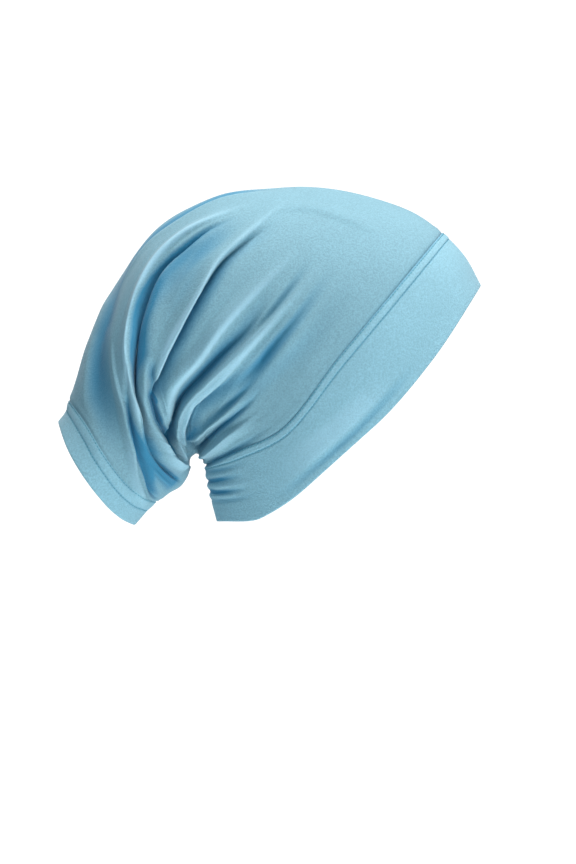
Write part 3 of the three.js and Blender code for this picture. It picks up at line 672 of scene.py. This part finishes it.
def cloth(sizes, name, stations, around, outside, inside, shade, band=False):
    """A closed cloth over a stretch of the tube.

    outside and inside give how far its faces stand off the middle of the jersey at each station, and
    shade how much painted shade its seams' grooves take there. The inner face has half the rows and half the
    points round it, and follows the lowest cloth near by, so that no crease comes through it.
    """
    turns = turns_round(around)
    middle, normals, painted_shading = folded(sizes, stations, turns, band)
    base = -sizes.jersey_wall / 2
    outer = middle + normals * (base + outside(sizes, stations))[:, None, None]
    lift = ((middle - skin_at(sizes, stations, turns)) * normals).sum(-1)
    fewer = stations[::2]
    stand = erode(lift, 2)[::2, ::2] + base - inside(sizes, fewer)[:, None]
    inner = skin_at(sizes, fewer, turns[::2]) + normals[::2, ::2] * stand[..., None]

    o = np.arange(len(stations) * around).reshape(len(stations), around)
    i = o.size + np.arange(len(fewer) * (around // 2)).reshape(len(fewer), around // 2)
    o_next, i_next = np.roll(o, -1, axis=1), np.roll(i, -1, axis=1)
    faces = []
    for corners in ((o[:-1], o[1:], o_next[1:], o_next[:-1]), (i[:-1], i_next[:-1], i_next[1:], i[1:])):
        faces += np.stack(corners, axis=-1).reshape(-1, 4).tolist()
    for row, turned in ((0, False), (-1, True)):
        rim, rim_next = o[row].tolist(), o_next[row].tolist()
        for k, (d, e) in enumerate(zip(i[row].tolist(), i_next[row].tolist())):
            a, b, c = rim[2 * k], rim[2 * k + 1], rim_next[2 * k + 1]
            strip = [(a, b, d), (b, e, d), (b, c, e)]
            faces += [t[::-1] if turned else t for t in strip]

    obj = add_object(name, np.vstack([outer.reshape(-1, 3), inner.reshape(-1, 3)]).tolist(), faces)
    # The crease attribute: painted shade in the creases, seams and grooves, and painted highlight (below 0)
    # on the crests and the band's lit patch, for the material to shade the colour by.
    crease = obj.data.attributes.new("crease", "FLOAT", "POINT")
    painted_shading = painted_shading + shade(sizes, stations)[:, None]
    crease.data.foreach_set("value", np.concatenate([painted_shading.ravel(), np.zeros(i.size)]).astype(np.float32))
    map_knit(obj.data, distances(sizes, stations), FLAT_ROUND * turns / (2 * math.pi))
    return obj


def rounded_edge(distance, thickness):
    """How far a folded edge's face stands back from its full height, at a distance from the edge."""
    r = thickness / 2
    d = np.clip(distance, 0, r)
    return r - np.sqrt(np.maximum(r * r - (r - d) ** 2, 0))


def doubled_inside(thickness, distance):
    """How far in a doubled cloth's inner face lies, at a distance from its folded edge."""
    return thickness / 2 - rounded_edge(distance + 0.0002, thickness)


def crown_face(sizes, stations):
    """How far the crown's outer face stands off the middle: puffed up, and drawn in at its seams."""
    d = distances(sizes, stations)
    seam, hem = d - sizes.band_width, tube_length(sizes) - sizes.hem_width - d
    puff = 0.0005 * bump_of(seam, 0.0038, 0.0024) + 0.0003 * bump_of(hem, 0.003, 0.002)
    return sizes.jersey_wall / 2 + puff - 0.0009 * bump_of(seam, 0, 0.0012) - 0.0005 * bump_of(hem, 0, 0.0010)


def crown_inside(sizes, stations):
    return np.full(len(stations), sizes.jersey_wall / 2)


# Painted shade in the groove at the crown's seam with the band.
def crown_shade(sizes, stations):
    return 0.55 * bump_of(distances(sizes, stations), sizes.band_width, 0.0014)


def strip_front(sizes):
    return sizes.band_width - sizes.seam_strip


def band_rows(sizes):
    """How far along the top line the band's two rows of stitching lie."""
    return strip_front(sizes) + STRIP_ROW, sizes.band_width - SEAM_ROW


def band_face(sizes, stations):
    """How far the band's outer face stands off the middle.

    It has a folded front edge, the raised seam strip, a groove at each row of stitching, and a rear
    edge that turns in at the seam.
    """
    d = distances(sizes, stations)
    front_row, rear_row = band_rows(sizes)
    rise = 0.00045 * smooth((d - strip_front(sizes)) / 0.0008)
    grooves = 0.00040 * bump_of(d, front_row, GROOVE_WIDTH) + 0.00045 * bump_of(d, rear_row, GROOVE_WIDTH)
    turned = 0.0011 * smooth(1 - (sizes.band_width - d) / 0.0011)
    return sizes.band_wall / 2 + rise - grooves - turned - rounded_edge(d, sizes.band_wall)


def band_inside(sizes, stations):
    return doubled_inside(sizes.band_wall, distances(sizes, stations))


# Painted shade in the groove of the band's front row of stitching and where its rear edge turns in at the
# seam.
def band_shade(sizes, stations):
    d = distances(sizes, stations)
    groove = bump_of(d, band_rows(sizes)[0], GROOVE_WIDTH)
    return 0.5 * groove + 0.5 * bump_of(d, sizes.band_width - 0.0008, 0.0008)


def hem_face(sizes, stations):
    """How far the hem's outer face stands off the middle, with the same grooves and turned edges."""
    d = tube_length(sizes) - distances(sizes, stations)
    grooves = sum(0.00040 * bump_of(d, sizes.hem_width - row, GROOVE_WIDTH) for row in HEM_ROWS)
    swell = 0.0003 * bump_of(d, sizes.hem_width - 0.0042, 0.0022)
    turned = 0.0008 * smooth(1 - (sizes.hem_width - d) / 0.0009)
    return sizes.hem_wall / 2 + swell - grooves - turned - rounded_edge(d, sizes.hem_wall)


def hem_inside(sizes, stations):
    return doubled_inside(sizes.hem_wall, tube_length(sizes) - distances(sizes, stations))


# Painted shade in the grooves of the hem's two rows of stitching.
def hem_shade(sizes, stations):
    d = tube_length(sizes) - distances(sizes, stations)
    return sum(0.4 * bump_of(d, sizes.hem_width - row, 0.0007) for row in HEM_ROWS)


# Materials


def new_group(name, inputs, outputs, kind="ShaderNodeTree"):
    """A node group with named sockets, each given with its kind, and an input with its default."""
    group = bpy.data.node_groups.new(name, kind)
    for socket, holds, value in inputs:
        s = group.interface.new_socket(name=socket, in_out="INPUT", socket_type="NodeSocket" + holds)
        if value is not None:
            s.default_value = value
    for socket, holds in outputs:
        group.interface.new_socket(name=socket, in_out="OUTPUT", socket_type="NodeSocket" + holds)
    return group, group.nodes.new("NodeGroupInput"), group.nodes.new("NodeGroupOutput")


def feed(tree, socket, value):
    """Links another node's socket to this one, or sets it to a plain value."""
    if hasattr(value, "links"):
        tree.links.new(value, socket)
    else:
        socket.default_value = value


def wire(tree, node, **values):
    """Feeds a node's sockets by name, with _ for a space."""
    for name, value in values.items():
        feed(tree, node.inputs[name.replace("_", " ")], value)


def maths(tree, operation, *values):
    node = tree.nodes.new("ShaderNodeMath")
    node.operation = operation
    for socket, value in zip(node.inputs, values):
        feed(tree, socket, value)
    return node.outputs[0]


def clamped(tree, value):
    return maths(tree, "MINIMUM", maths(tree, "MAXIMUM", value, 0.0), 1.0)


def mixed(tree, factor, a, b):
    node = tree.nodes.new("ShaderNodeMix")
    node.data_type = "RGBA"
    for k, value in ((0, factor), (6, a), (7, b)):
        feed(tree, node.inputs[k], value)
    return node.outputs[2]


def bumped(tree, height, strength, distance, **values):
    node = tree.nodes.new("ShaderNodeBump")
    wire(tree, node, Strength=strength, Distance=distance, Height=height, **values)
    return node.outputs[0]


def knit_group():
    """Single jersey: columns of V-shaped loops.

    Puts out the height of the yarn and a mask of the gaps between the loops.
    """
    group, enter, leave = new_group(
        KNIT,
        [("Place", "Vector", None), ("Wale Width", "Float", 0.0008), ("Course Height", "Float", 0.0006)],
        [("Height", "Float"), ("Gap", "Float")],
    )
    calc = partial(maths, group)
    split = group.nodes.new("ShaderNodeSeparateXYZ")
    group.links.new(enter.outputs["Place"], split.inputs[0])
    wale = calc("DIVIDE", split.outputs[1], enter.outputs["Wale Width"])
    course = calc("DIVIDE", split.outputs[0], enter.outputs["Course Height"])
    leg = calc("ABSOLUTE", calc("SUBTRACT", calc("FRACT", wale), 0.5))
    phase = calc("ADD", course, calc("MULTIPLY", leg, 1.5))
    yarn = calc("ABSOLUTE", calc("SINE", calc("MULTIPLY", phase, math.pi)))
    off_middle = calc("ABSOLUTE", calc("SUBTRACT", calc("MULTIPLY", leg, 4.0), 1.0))
    ridge = calc("ADD", calc("MULTIPLY", calc("SUBTRACT", 1.0, off_middle), 0.6), 0.4)
    height = calc("MULTIPLY", calc("POWER", yarn, 0.6), ridge)
    wire(group, leave, Height=height, Gap=calc("SUBTRACT", 1.0, height))
    return group


def dye_group():
    """Uneven dye: masks of slow clouds and of a fine fleck, to shade a colour by."""
    inputs = [("Cloud Size", "Float", 0.03), ("Fleck Size", "Float", 0.0011), ("Contrast", "Float", 2.6)]
    outputs = [("Clouds", "Float"), ("Fleck", "Float")]
    group, enter, leave = new_group(DYE, [("Place", "Vector", None), *inputs], outputs)
    calc = partial(maths, group)
    for size, out, detail in (("Cloud Size", "Clouds", 3.0), ("Fleck Size", "Fleck", 1.0)):
        noise = group.nodes.new("ShaderNodeTexNoise")
        scale = calc("DIVIDE", 1.0, enter.outputs[size])
        wire(group, noise, Detail=detail, Vector=enter.outputs["Place"], Scale=scale)
        spread = calc("MULTIPLY", calc("SUBTRACT", noise.outputs[0], 0.5), enter.outputs["Contrast"])
        feed(group, leave.inputs[out], clamped(group, calc("ADD", spread, 0.5)))
    return group


def use_group(tree, name, **values):
    """Places a shared group in the tree, and gives its outputs."""
    node = tree.nodes.new("ShaderNodeGroup")
    node.node_tree = bpy.data.node_groups[name]
    wire(tree, node, **values)
    return node.outputs


def object_place(tree):
    return tree.nodes.new("ShaderNodeTexCoord").outputs["Object"]


def shaded(colour, factor):
    return tuple(min(c * factor, 1) for c in colour[:3]) + (1,)


def new_material(name):
    material = bpy.data.materials.new(name)
    material.use_nodes = True
    tree = material.node_tree
    tree.nodes.clear()
    out = tree.nodes.new("ShaderNodeOutputMaterial")
    shader = tree.nodes.new("ShaderNodeBsdfPrincipled")
    tree.links.new(shader.outputs[0], out.inputs[0])
    return material, tree, shader


def jersey_material(colours, name, painted_brightness, wale, relief):
    """Fine matt jersey.

    The cloth is painted a deeper blue in its creases and seams and in the gaps of the knit, as painted
    shade, and paler on its crests, as a painted highlight; it is also a little uneven in its dye. Its
    brightness is scaled for each cloth, as painted light and shade for how the light falls on it.
    """
    material, tree, shader = new_material(name)
    calc, mix = partial(maths, tree), partial(mixed, tree)
    knit_map = tree.nodes.new("ShaderNodeUVMap")
    knit_map.uv_map = "knit"
    crease = tree.nodes.new("ShaderNodeAttribute")
    crease.attribute_name = "crease"
    painted_shading = crease.outputs["Fac"]
    loops = use_group(tree, KNIT, Place=knit_map.outputs[0], Wale_Width=wale, Course_Height=wale * 0.75)
    dye = use_group(tree, DYE, Place=object_place(tree))
    base = tuple(colours.jersey)
    # The cloth's brightness factor is painted light and shade: it makes lighter and darker copies of the one
    # jersey, for how the light falls on each cloth.
    darker = shaded(base, painted_brightness * 0.62)
    colour = mix(dye["Clouds"], shaded(base, painted_brightness * 0.96), shaded(base, painted_brightness * 1.04))
    colour = mix(calc("MULTIPLY", dye["Fleck"], 0.55), colour, darker)
    # Painted shade: the gaps between the knit's loops are darkened, standing in for the shade that falls in
    # them.
    colour = mix(calc("MULTIPLY", loops["Gap"], 0.22), colour, darker)
    # Painted shade: the creases, seams and grooves are darkened towards the crease shade colour.
    deep = calc("MINIMUM", calc("POWER", calc("MAXIMUM", painted_shading, 0.0), 1.3), 1.0)
    colour = mix(calc("MULTIPLY", deep, 0.85), colour, tuple(colours.deep))
    # Painted highlight: the crests and the band's lit patch are paled towards the crest colour.
    pale = clamped(tree, calc("MULTIPLY", painted_shading, -1.0))
    colour = mix(calc("MULTIPLY", pale, 0.5), colour, tuple(colours.crest))
    fleck = bumped(tree, dye["Fleck"], 0.25, 0.0006)
    wire(
        tree, shader, Base_Color=colour, Roughness=calc("ADD", 0.78, calc("MULTIPLY", loops["Gap"], 0.15)),
        Specular_IOR_Level=0.3, Sheen_Weight=0.14, Sheen_Roughness=0.45, Sheen_Tint=(0.88, 0.95, 1.0, 1),
        Normal=bumped(tree, loops["Height"], relief, 0.00018, Normal=fleck),
    )
    return material


def thread_material(colours):
    """Twisted sewing thread, a shade deeper than the cloth."""
    material, tree, shader = new_material("Sewing thread")
    dye = use_group(tree, DYE, Place=object_place(tree), Cloud_Size=0.004, Fleck_Size=0.0004)
    base = tuple(colours.thread)
    wire(
        tree, shader, Base_Color=mixed(tree, dye["Fleck"], shaded(base, 0.75), shaded(base, 1.3)),
        Roughness=maths(tree, "ADD", 0.55, maths(tree, "MULTIPLY", dye["Clouds"], 0.2)),
        Sheen_Weight=0.1, Normal=bumped(tree, dye["Fleck"], 0.4, 0.0001),
    )
    return material


def studio_glow(tree, strength, seen):
    """The colour and strength of the studio's own light.

    It is cool and dim on the cap, and evenly white to the camera.
    """
    camera = tree.nodes.new("ShaderNodeLightPath").outputs["Is Camera Ray"]
    colour = mixed(tree, camera, (0.66, 0.88, 1, 1), (1, 1, 1, 1))
    return colour, maths(tree, "ADD", strength, maths(tree, "MULTIPLY", camera, seen))


def studio_material(colours, name):
    """The pale floor, very slightly uneven."""
    material, tree, shader = new_material(name)
    dye = use_group(tree, DYE, Place=object_place(tree), Cloud_Size=0.6, Fleck_Size=0.01)
    base = tuple(colours.floor)
    glow, strength = studio_glow(tree, 0.18, 0.75)
    wire(
        tree, shader, Base_Color=mixed(tree, dye["Clouds"], shaded(base, 0.995), shaded(base, 1.005)),
        Roughness=0.9, Specular_IOR_Level=0.1, Emission_Color=glow, Emission_Strength=strength,
    )
    return material


# Stitching


def stitch_tree():
    """Geometry Nodes: a slim stitch at every pitch along a line, lying on the cloth along it."""
    tree, enter, leave = new_group(
        STITCHES,
        [
            ("Geometry", "Geometry", None), ("Pitch", "Float", 0.0026), ("Stitch Length", "Float", 0.0017),
            ("Thread", "Float", 0.0007), ("Seed", "Int", SEED), ("Material", "Material", None),
        ],
        [("Geometry", "Geometry")],
        "GeometryNodeTree",
    )
    add, link = tree.nodes.new, tree.links.new
    to_curve, to_points = add("GeometryNodeMeshToCurve"), add("GeometryNodeCurveToPoints")
    to_points.mode = "LENGTH"
    link(enter.outputs["Geometry"], to_curve.inputs[0])
    link(to_curve.outputs[0], to_points.inputs[0])
    link(enter.outputs["Pitch"], to_points.inputs["Length"])
    ball = add("GeometryNodeMeshUVSphere")
    wire(tree, ball, Segments=6, Rings=5, Radius=0.5)
    shape = add("ShaderNodeCombineXYZ")
    for k, size in enumerate(("Thread", "Thread", "Stitch Length")):
        link(enter.outputs[size], shape.inputs[k])
    sized = add("GeometryNodeTransform")
    link(ball.outputs[0], sized.inputs[0])
    link(shape.outputs[0], sized.inputs["Scale"])
    along = add("FunctionNodeAlignEulerToVector")
    along.axis = "Z"
    link(to_points.outputs["Tangent"], along.inputs["Vector"])
    vary = add("FunctionNodeRandomValue")
    vary.data_type = "FLOAT"
    for socket in vary.inputs:
        if socket.type == "VALUE" and socket.name in ("Min", "Max"):
            socket.default_value = 0.9 if socket.name == "Min" else 1.12
    link(enter.outputs["Seed"], vary.inputs["Seed"])
    place = add("GeometryNodeInstanceOnPoints")
    link(to_points.outputs[0], place.inputs["Points"])
    link(sized.outputs[0], place.inputs["Instance"])
    link(along.outputs[0], place.inputs["Rotation"])
    link(next(s for s in vary.outputs if s.type == "VALUE" and s.enabled), place.inputs["Scale"])
    end = place
    for kind in ("GeometryNodeRealizeInstances", "GeometryNodeSetShadeSmooth", "GeometryNodeSetMaterial"):
        node = add(kind)
        link(end.outputs[0], node.inputs[0])
        end = node
    link(enter.outputs["Material"], end.inputs["Material"])
    link(end.outputs[0], leave.inputs[0])
    return tree


def stitch_lines(sizes, name, rows, face, band):
    """The closed lines that rows of stitching follow.

    Each row is a distance along the top line, and face how the cloth's outer face stands there.
    """
    turns = turns_round(400)
    verts, edges = [], []
    for distance in rows:
        station = np.array([station_along(sizes, distance)])
        middle, normals, _ = folded(sizes, station, turns, band)
        stand = face(sizes, station)[0] - sizes.jersey_wall / 2 + THREAD_PROUD
        first = len(verts)
        verts += (middle[0] + normals[0] * stand).tolist()
        edges += [(first + k, first + (k + 1) % len(turns)) for k in range(len(turns))]
    mesh = bpy.data.meshes.new(name)
    mesh.from_pydata(verts, edges, [])
    return link_object(name, mesh)


def stitched(sizes, name, line, material):
    """Rows of stitches along the lines, as one plain mesh. The lines' own object is taken away."""
    tree = bpy.data.node_groups[STITCHES]
    modifier = line.modifiers.new("stitches", "NODES")
    modifier.node_group = tree
    values = {
        "Pitch": sizes.stitch_pitch, "Stitch Length": sizes.stitch_length, "Thread": sizes.thread,
        "Seed": SEED, "Material": material,
    }
    for socket in tree.interface.items_tree:
        if socket.name in values:
            modifier[socket.identifier] = values[socket.name]
    bpy.context.view_layer.update()
    made = line.evaluated_get(bpy.context.evaluated_depsgraph_get())
    mesh = bpy.data.meshes.new_from_object(made)
    line.modifiers.clear()
    bpy.data.objects.remove(line)
    mesh.name = name
    if len(mesh.polygons) < 1000:
        raise RuntimeError(f"{name} came out with {len(mesh.polygons)} faces")
    return link_object(name, mesh)


# Operators


def ready():
    """Makes the shared node groups that aren't there yet, and gives the cap's sizes and colours."""
    for name, make in ((KNIT, knit_group), (DYE, dye_group), (STITCHES, stitch_tree)):
        if name not in bpy.data.node_groups:
            make()
    scene = bpy.context.scene
    return scene.cap_sizes, scene.cap_colours


class CAP_OT_crown_cloth(bpy.types.Operator):
    """Make the crown: one layer of jersey, gathered at the nape and slack behind."""

    bl_idname = "cap.crown_cloth"
    bl_label = "Crown cloth"

    def execute(self, context):
        sizes, colours = ready()
        start = station_along(sizes, sizes.band_width - LAP)
        end = station_along(sizes, tube_length(sizes) - sizes.hem_width + LAP)
        rows = rows_between(start, end)
        obj = cloth(sizes, "crown_cloth", rows, 360, crown_face, crown_inside, crown_shade)
        # Painted shade: the crown's cloth is painted darker (0.86), for how the light falls on it.
        obj.data.materials.append(jersey_material(colours, "Crown jersey", 0.86, 0.0008, 0.45))
        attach(obj, "root")
        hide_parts("crown")
        return {"FINISHED"}


class CAP_OT_band_cloth(bpy.types.Operator):
    """Make the doubled band along the front edge, with the seam strip that is stitched down on it."""

    bl_idname = "cap.band_cloth"
    bl_label = "Band cloth"

    def execute(self, context):
        sizes, colours = ready()
        edge = station_along(sizes, EDGE_STEPS * sizes.band_wall / 2)
        strip = strip_front(sizes) - 0.0016
        body = rows_between(edge[-1], station_along(sizes, strip), 2.2)[1:-1]
        fine = station_along(sizes, np.linspace(strip, sizes.band_width - 0.0004, 23))
        rows = np.concatenate([edge, body, fine])
        if len(rows) % 2 == 0:
            rows = np.delete(rows, len(edge))
        obj = cloth(sizes, "band_cloth", rows, 480, band_face, band_inside, band_shade, band=True)
        # Painted light: the band's cloth is painted lighter (1.01), for how the light falls on it.
        obj.data.materials.append(jersey_material(colours, "Band jersey", 1.01, 0.0007, 0.35))
        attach(obj, "root")
        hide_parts("front_band")
        return {"FINISHED"}


class CAP_OT_hem_cloth(bpy.types.Operator):
    """Make the doubled hem at the open end of the tail."""

    bl_idname = "cap.hem_cloth"
    bl_label = "Hem cloth"

    def execute(self, context):
        sizes, colours = ready()
        tube = tube_length(sizes)
        edge = station_along(sizes, tube - EDGE_STEPS[::-1] * sizes.hem_wall / 2)
        fine = station_along(sizes, np.linspace(tube - sizes.hem_width, tube - 0.0012, 44))
        rows = np.concatenate([fine, edge])
        obj = cloth(sizes, "hem_cloth", rows, 360, hem_face, hem_inside, hem_shade)
        # Painted light: the hem's cloth is painted lighter (1.03), for how the light falls on it.
        obj.data.materials.append(jersey_material(colours, "Hem jersey", 1.03, 0.0007, 0.35))
        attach(obj, "root")
        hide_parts("tail_hem")
        return {"FINISHED"}


class CAP_OT_stitching(bpy.types.Operator):
    """Make the two rows of stitching on the band and the two on the hem."""

    bl_idname = "cap.stitching"
    bl_label = "Stitching"

    def execute(self, context):
        sizes, colours = ready()
        thread = thread_material(colours)
        hem_seam = tube_length(sizes) - sizes.hem_width
        hem_rows = [hem_seam + row for row in HEM_ROWS]
        for name, rows, face in (
            ("band_stitches", band_rows(sizes), band_face),
            ("hem_stitches", hem_rows, hem_face),
        ):
            line = stitch_lines(sizes, name + "_line", rows, face, face is band_face)
            obj = stitched(sizes, name, line, thread)
            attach(obj, "root")
        return {"FINISHED"}


class CAP_OT_studio(bpy.types.Operator):
    """Make the pale floor, the soft light and the camera."""

    bl_idname = "cap.studio"
    bl_label = "Studio"

    def execute(self, context):
        colours = ready()[1]
        scene = context.scene
        low = CAD_BOX[0][2] - FLOOR_DROP
        corners = np.linspace(0, 2 * math.pi, FLOOR_SIDES + 1)[:-1]
        verts = [(FLOOR_RADIUS * math.cos(a), FLOOR_RADIUS * math.sin(a), low) for a in corners]
        floor = add_object("studio_floor", verts, [tuple(range(FLOOR_SIDES))])
        floor.data.materials.append(studio_material(colours, "Studio floor"))

        camera = link_object("camera", bpy.data.cameras.new("camera"))
        camera.location = CAMERA_PLACE
        camera.rotation_euler = (math.pi / 2, 0, 0)
        camera.data.lens = CAMERA_LENS
        camera.data.clip_start, camera.data.clip_end = 0.1, 30
        scene.camera = camera

        for name, (place, aim, side, power, colour) in LAMPS.items():
            light = bpy.data.lights.new(name, "AREA")
            light.shape = "RECTANGLE"
            light.size, light.size_y, light.energy, light.color = side, side, power, colour
            lamp = link_object(name, light)
            lamp.location = place
            lamp.rotation_euler = (Vector(aim) - Vector(place)).to_track_quat("-Z", "Y").to_euler()

        world = bpy.data.worlds.new("studio")
        world.use_nodes = True
        glow, strength = studio_glow(world.node_tree, 0.24, 0.9)
        wire(world.node_tree, world.node_tree.nodes["Background"], Color=glow, Strength=strength)
        scene.world = world
        scene.view_settings.view_transform = "Standard"
        return {"FINISHED"}


class CAP_PT_panel(bpy.types.Panel):
    """The cap's sizes, colours and steps."""

    bl_idname = "CAP_PT_panel"
    bl_label = "Underscarf cap"
    bl_space_type = "VIEW_3D"
    bl_region_type = "UI"
    bl_category = "Underscarf cap"

    def draw(self, context):
        for group in (context.scene.cap_sizes, context.scene.cap_colours):
            box = self.layout.box()
            for name in group.bl_rna.properties.keys():
                if name not in ("rna_type", "name"):
                    box.prop(group, name)
        for operator in OPERATORS:
            self.layout.operator(operator.bl_idname)


OPERATORS = (CAP_OT_crown_cloth, CAP_OT_band_cloth, CAP_OT_hem_cloth, CAP_OT_stitching, CAP_OT_studio)
CLASSES = (CapSizes, CapColours, *OPERATORS, CAP_PT_panel)


def register():
    for c in CLASSES:
        bpy.utils.register_class(c)
    bpy.types.Scene.cap_sizes = PointerProperty(type=CapSizes)
    bpy.types.Scene.cap_colours = PointerProperty(type=CapColours)


def unregister():
    del bpy.types.Scene.cap_colours
    del bpy.types.Scene.cap_sizes
    for c in reversed(CLASSES):
        bpy.utils.unregister_class(c)


def main():
    register()
    bpy.ops.cap.crown_cloth()
    bpy.ops.cap.band_cloth()
    bpy.ops.cap.hem_cloth()
    bpy.ops.cap.stitching()
    bpy.ops.cap.studio()


if __name__ == "__main__":
    main()
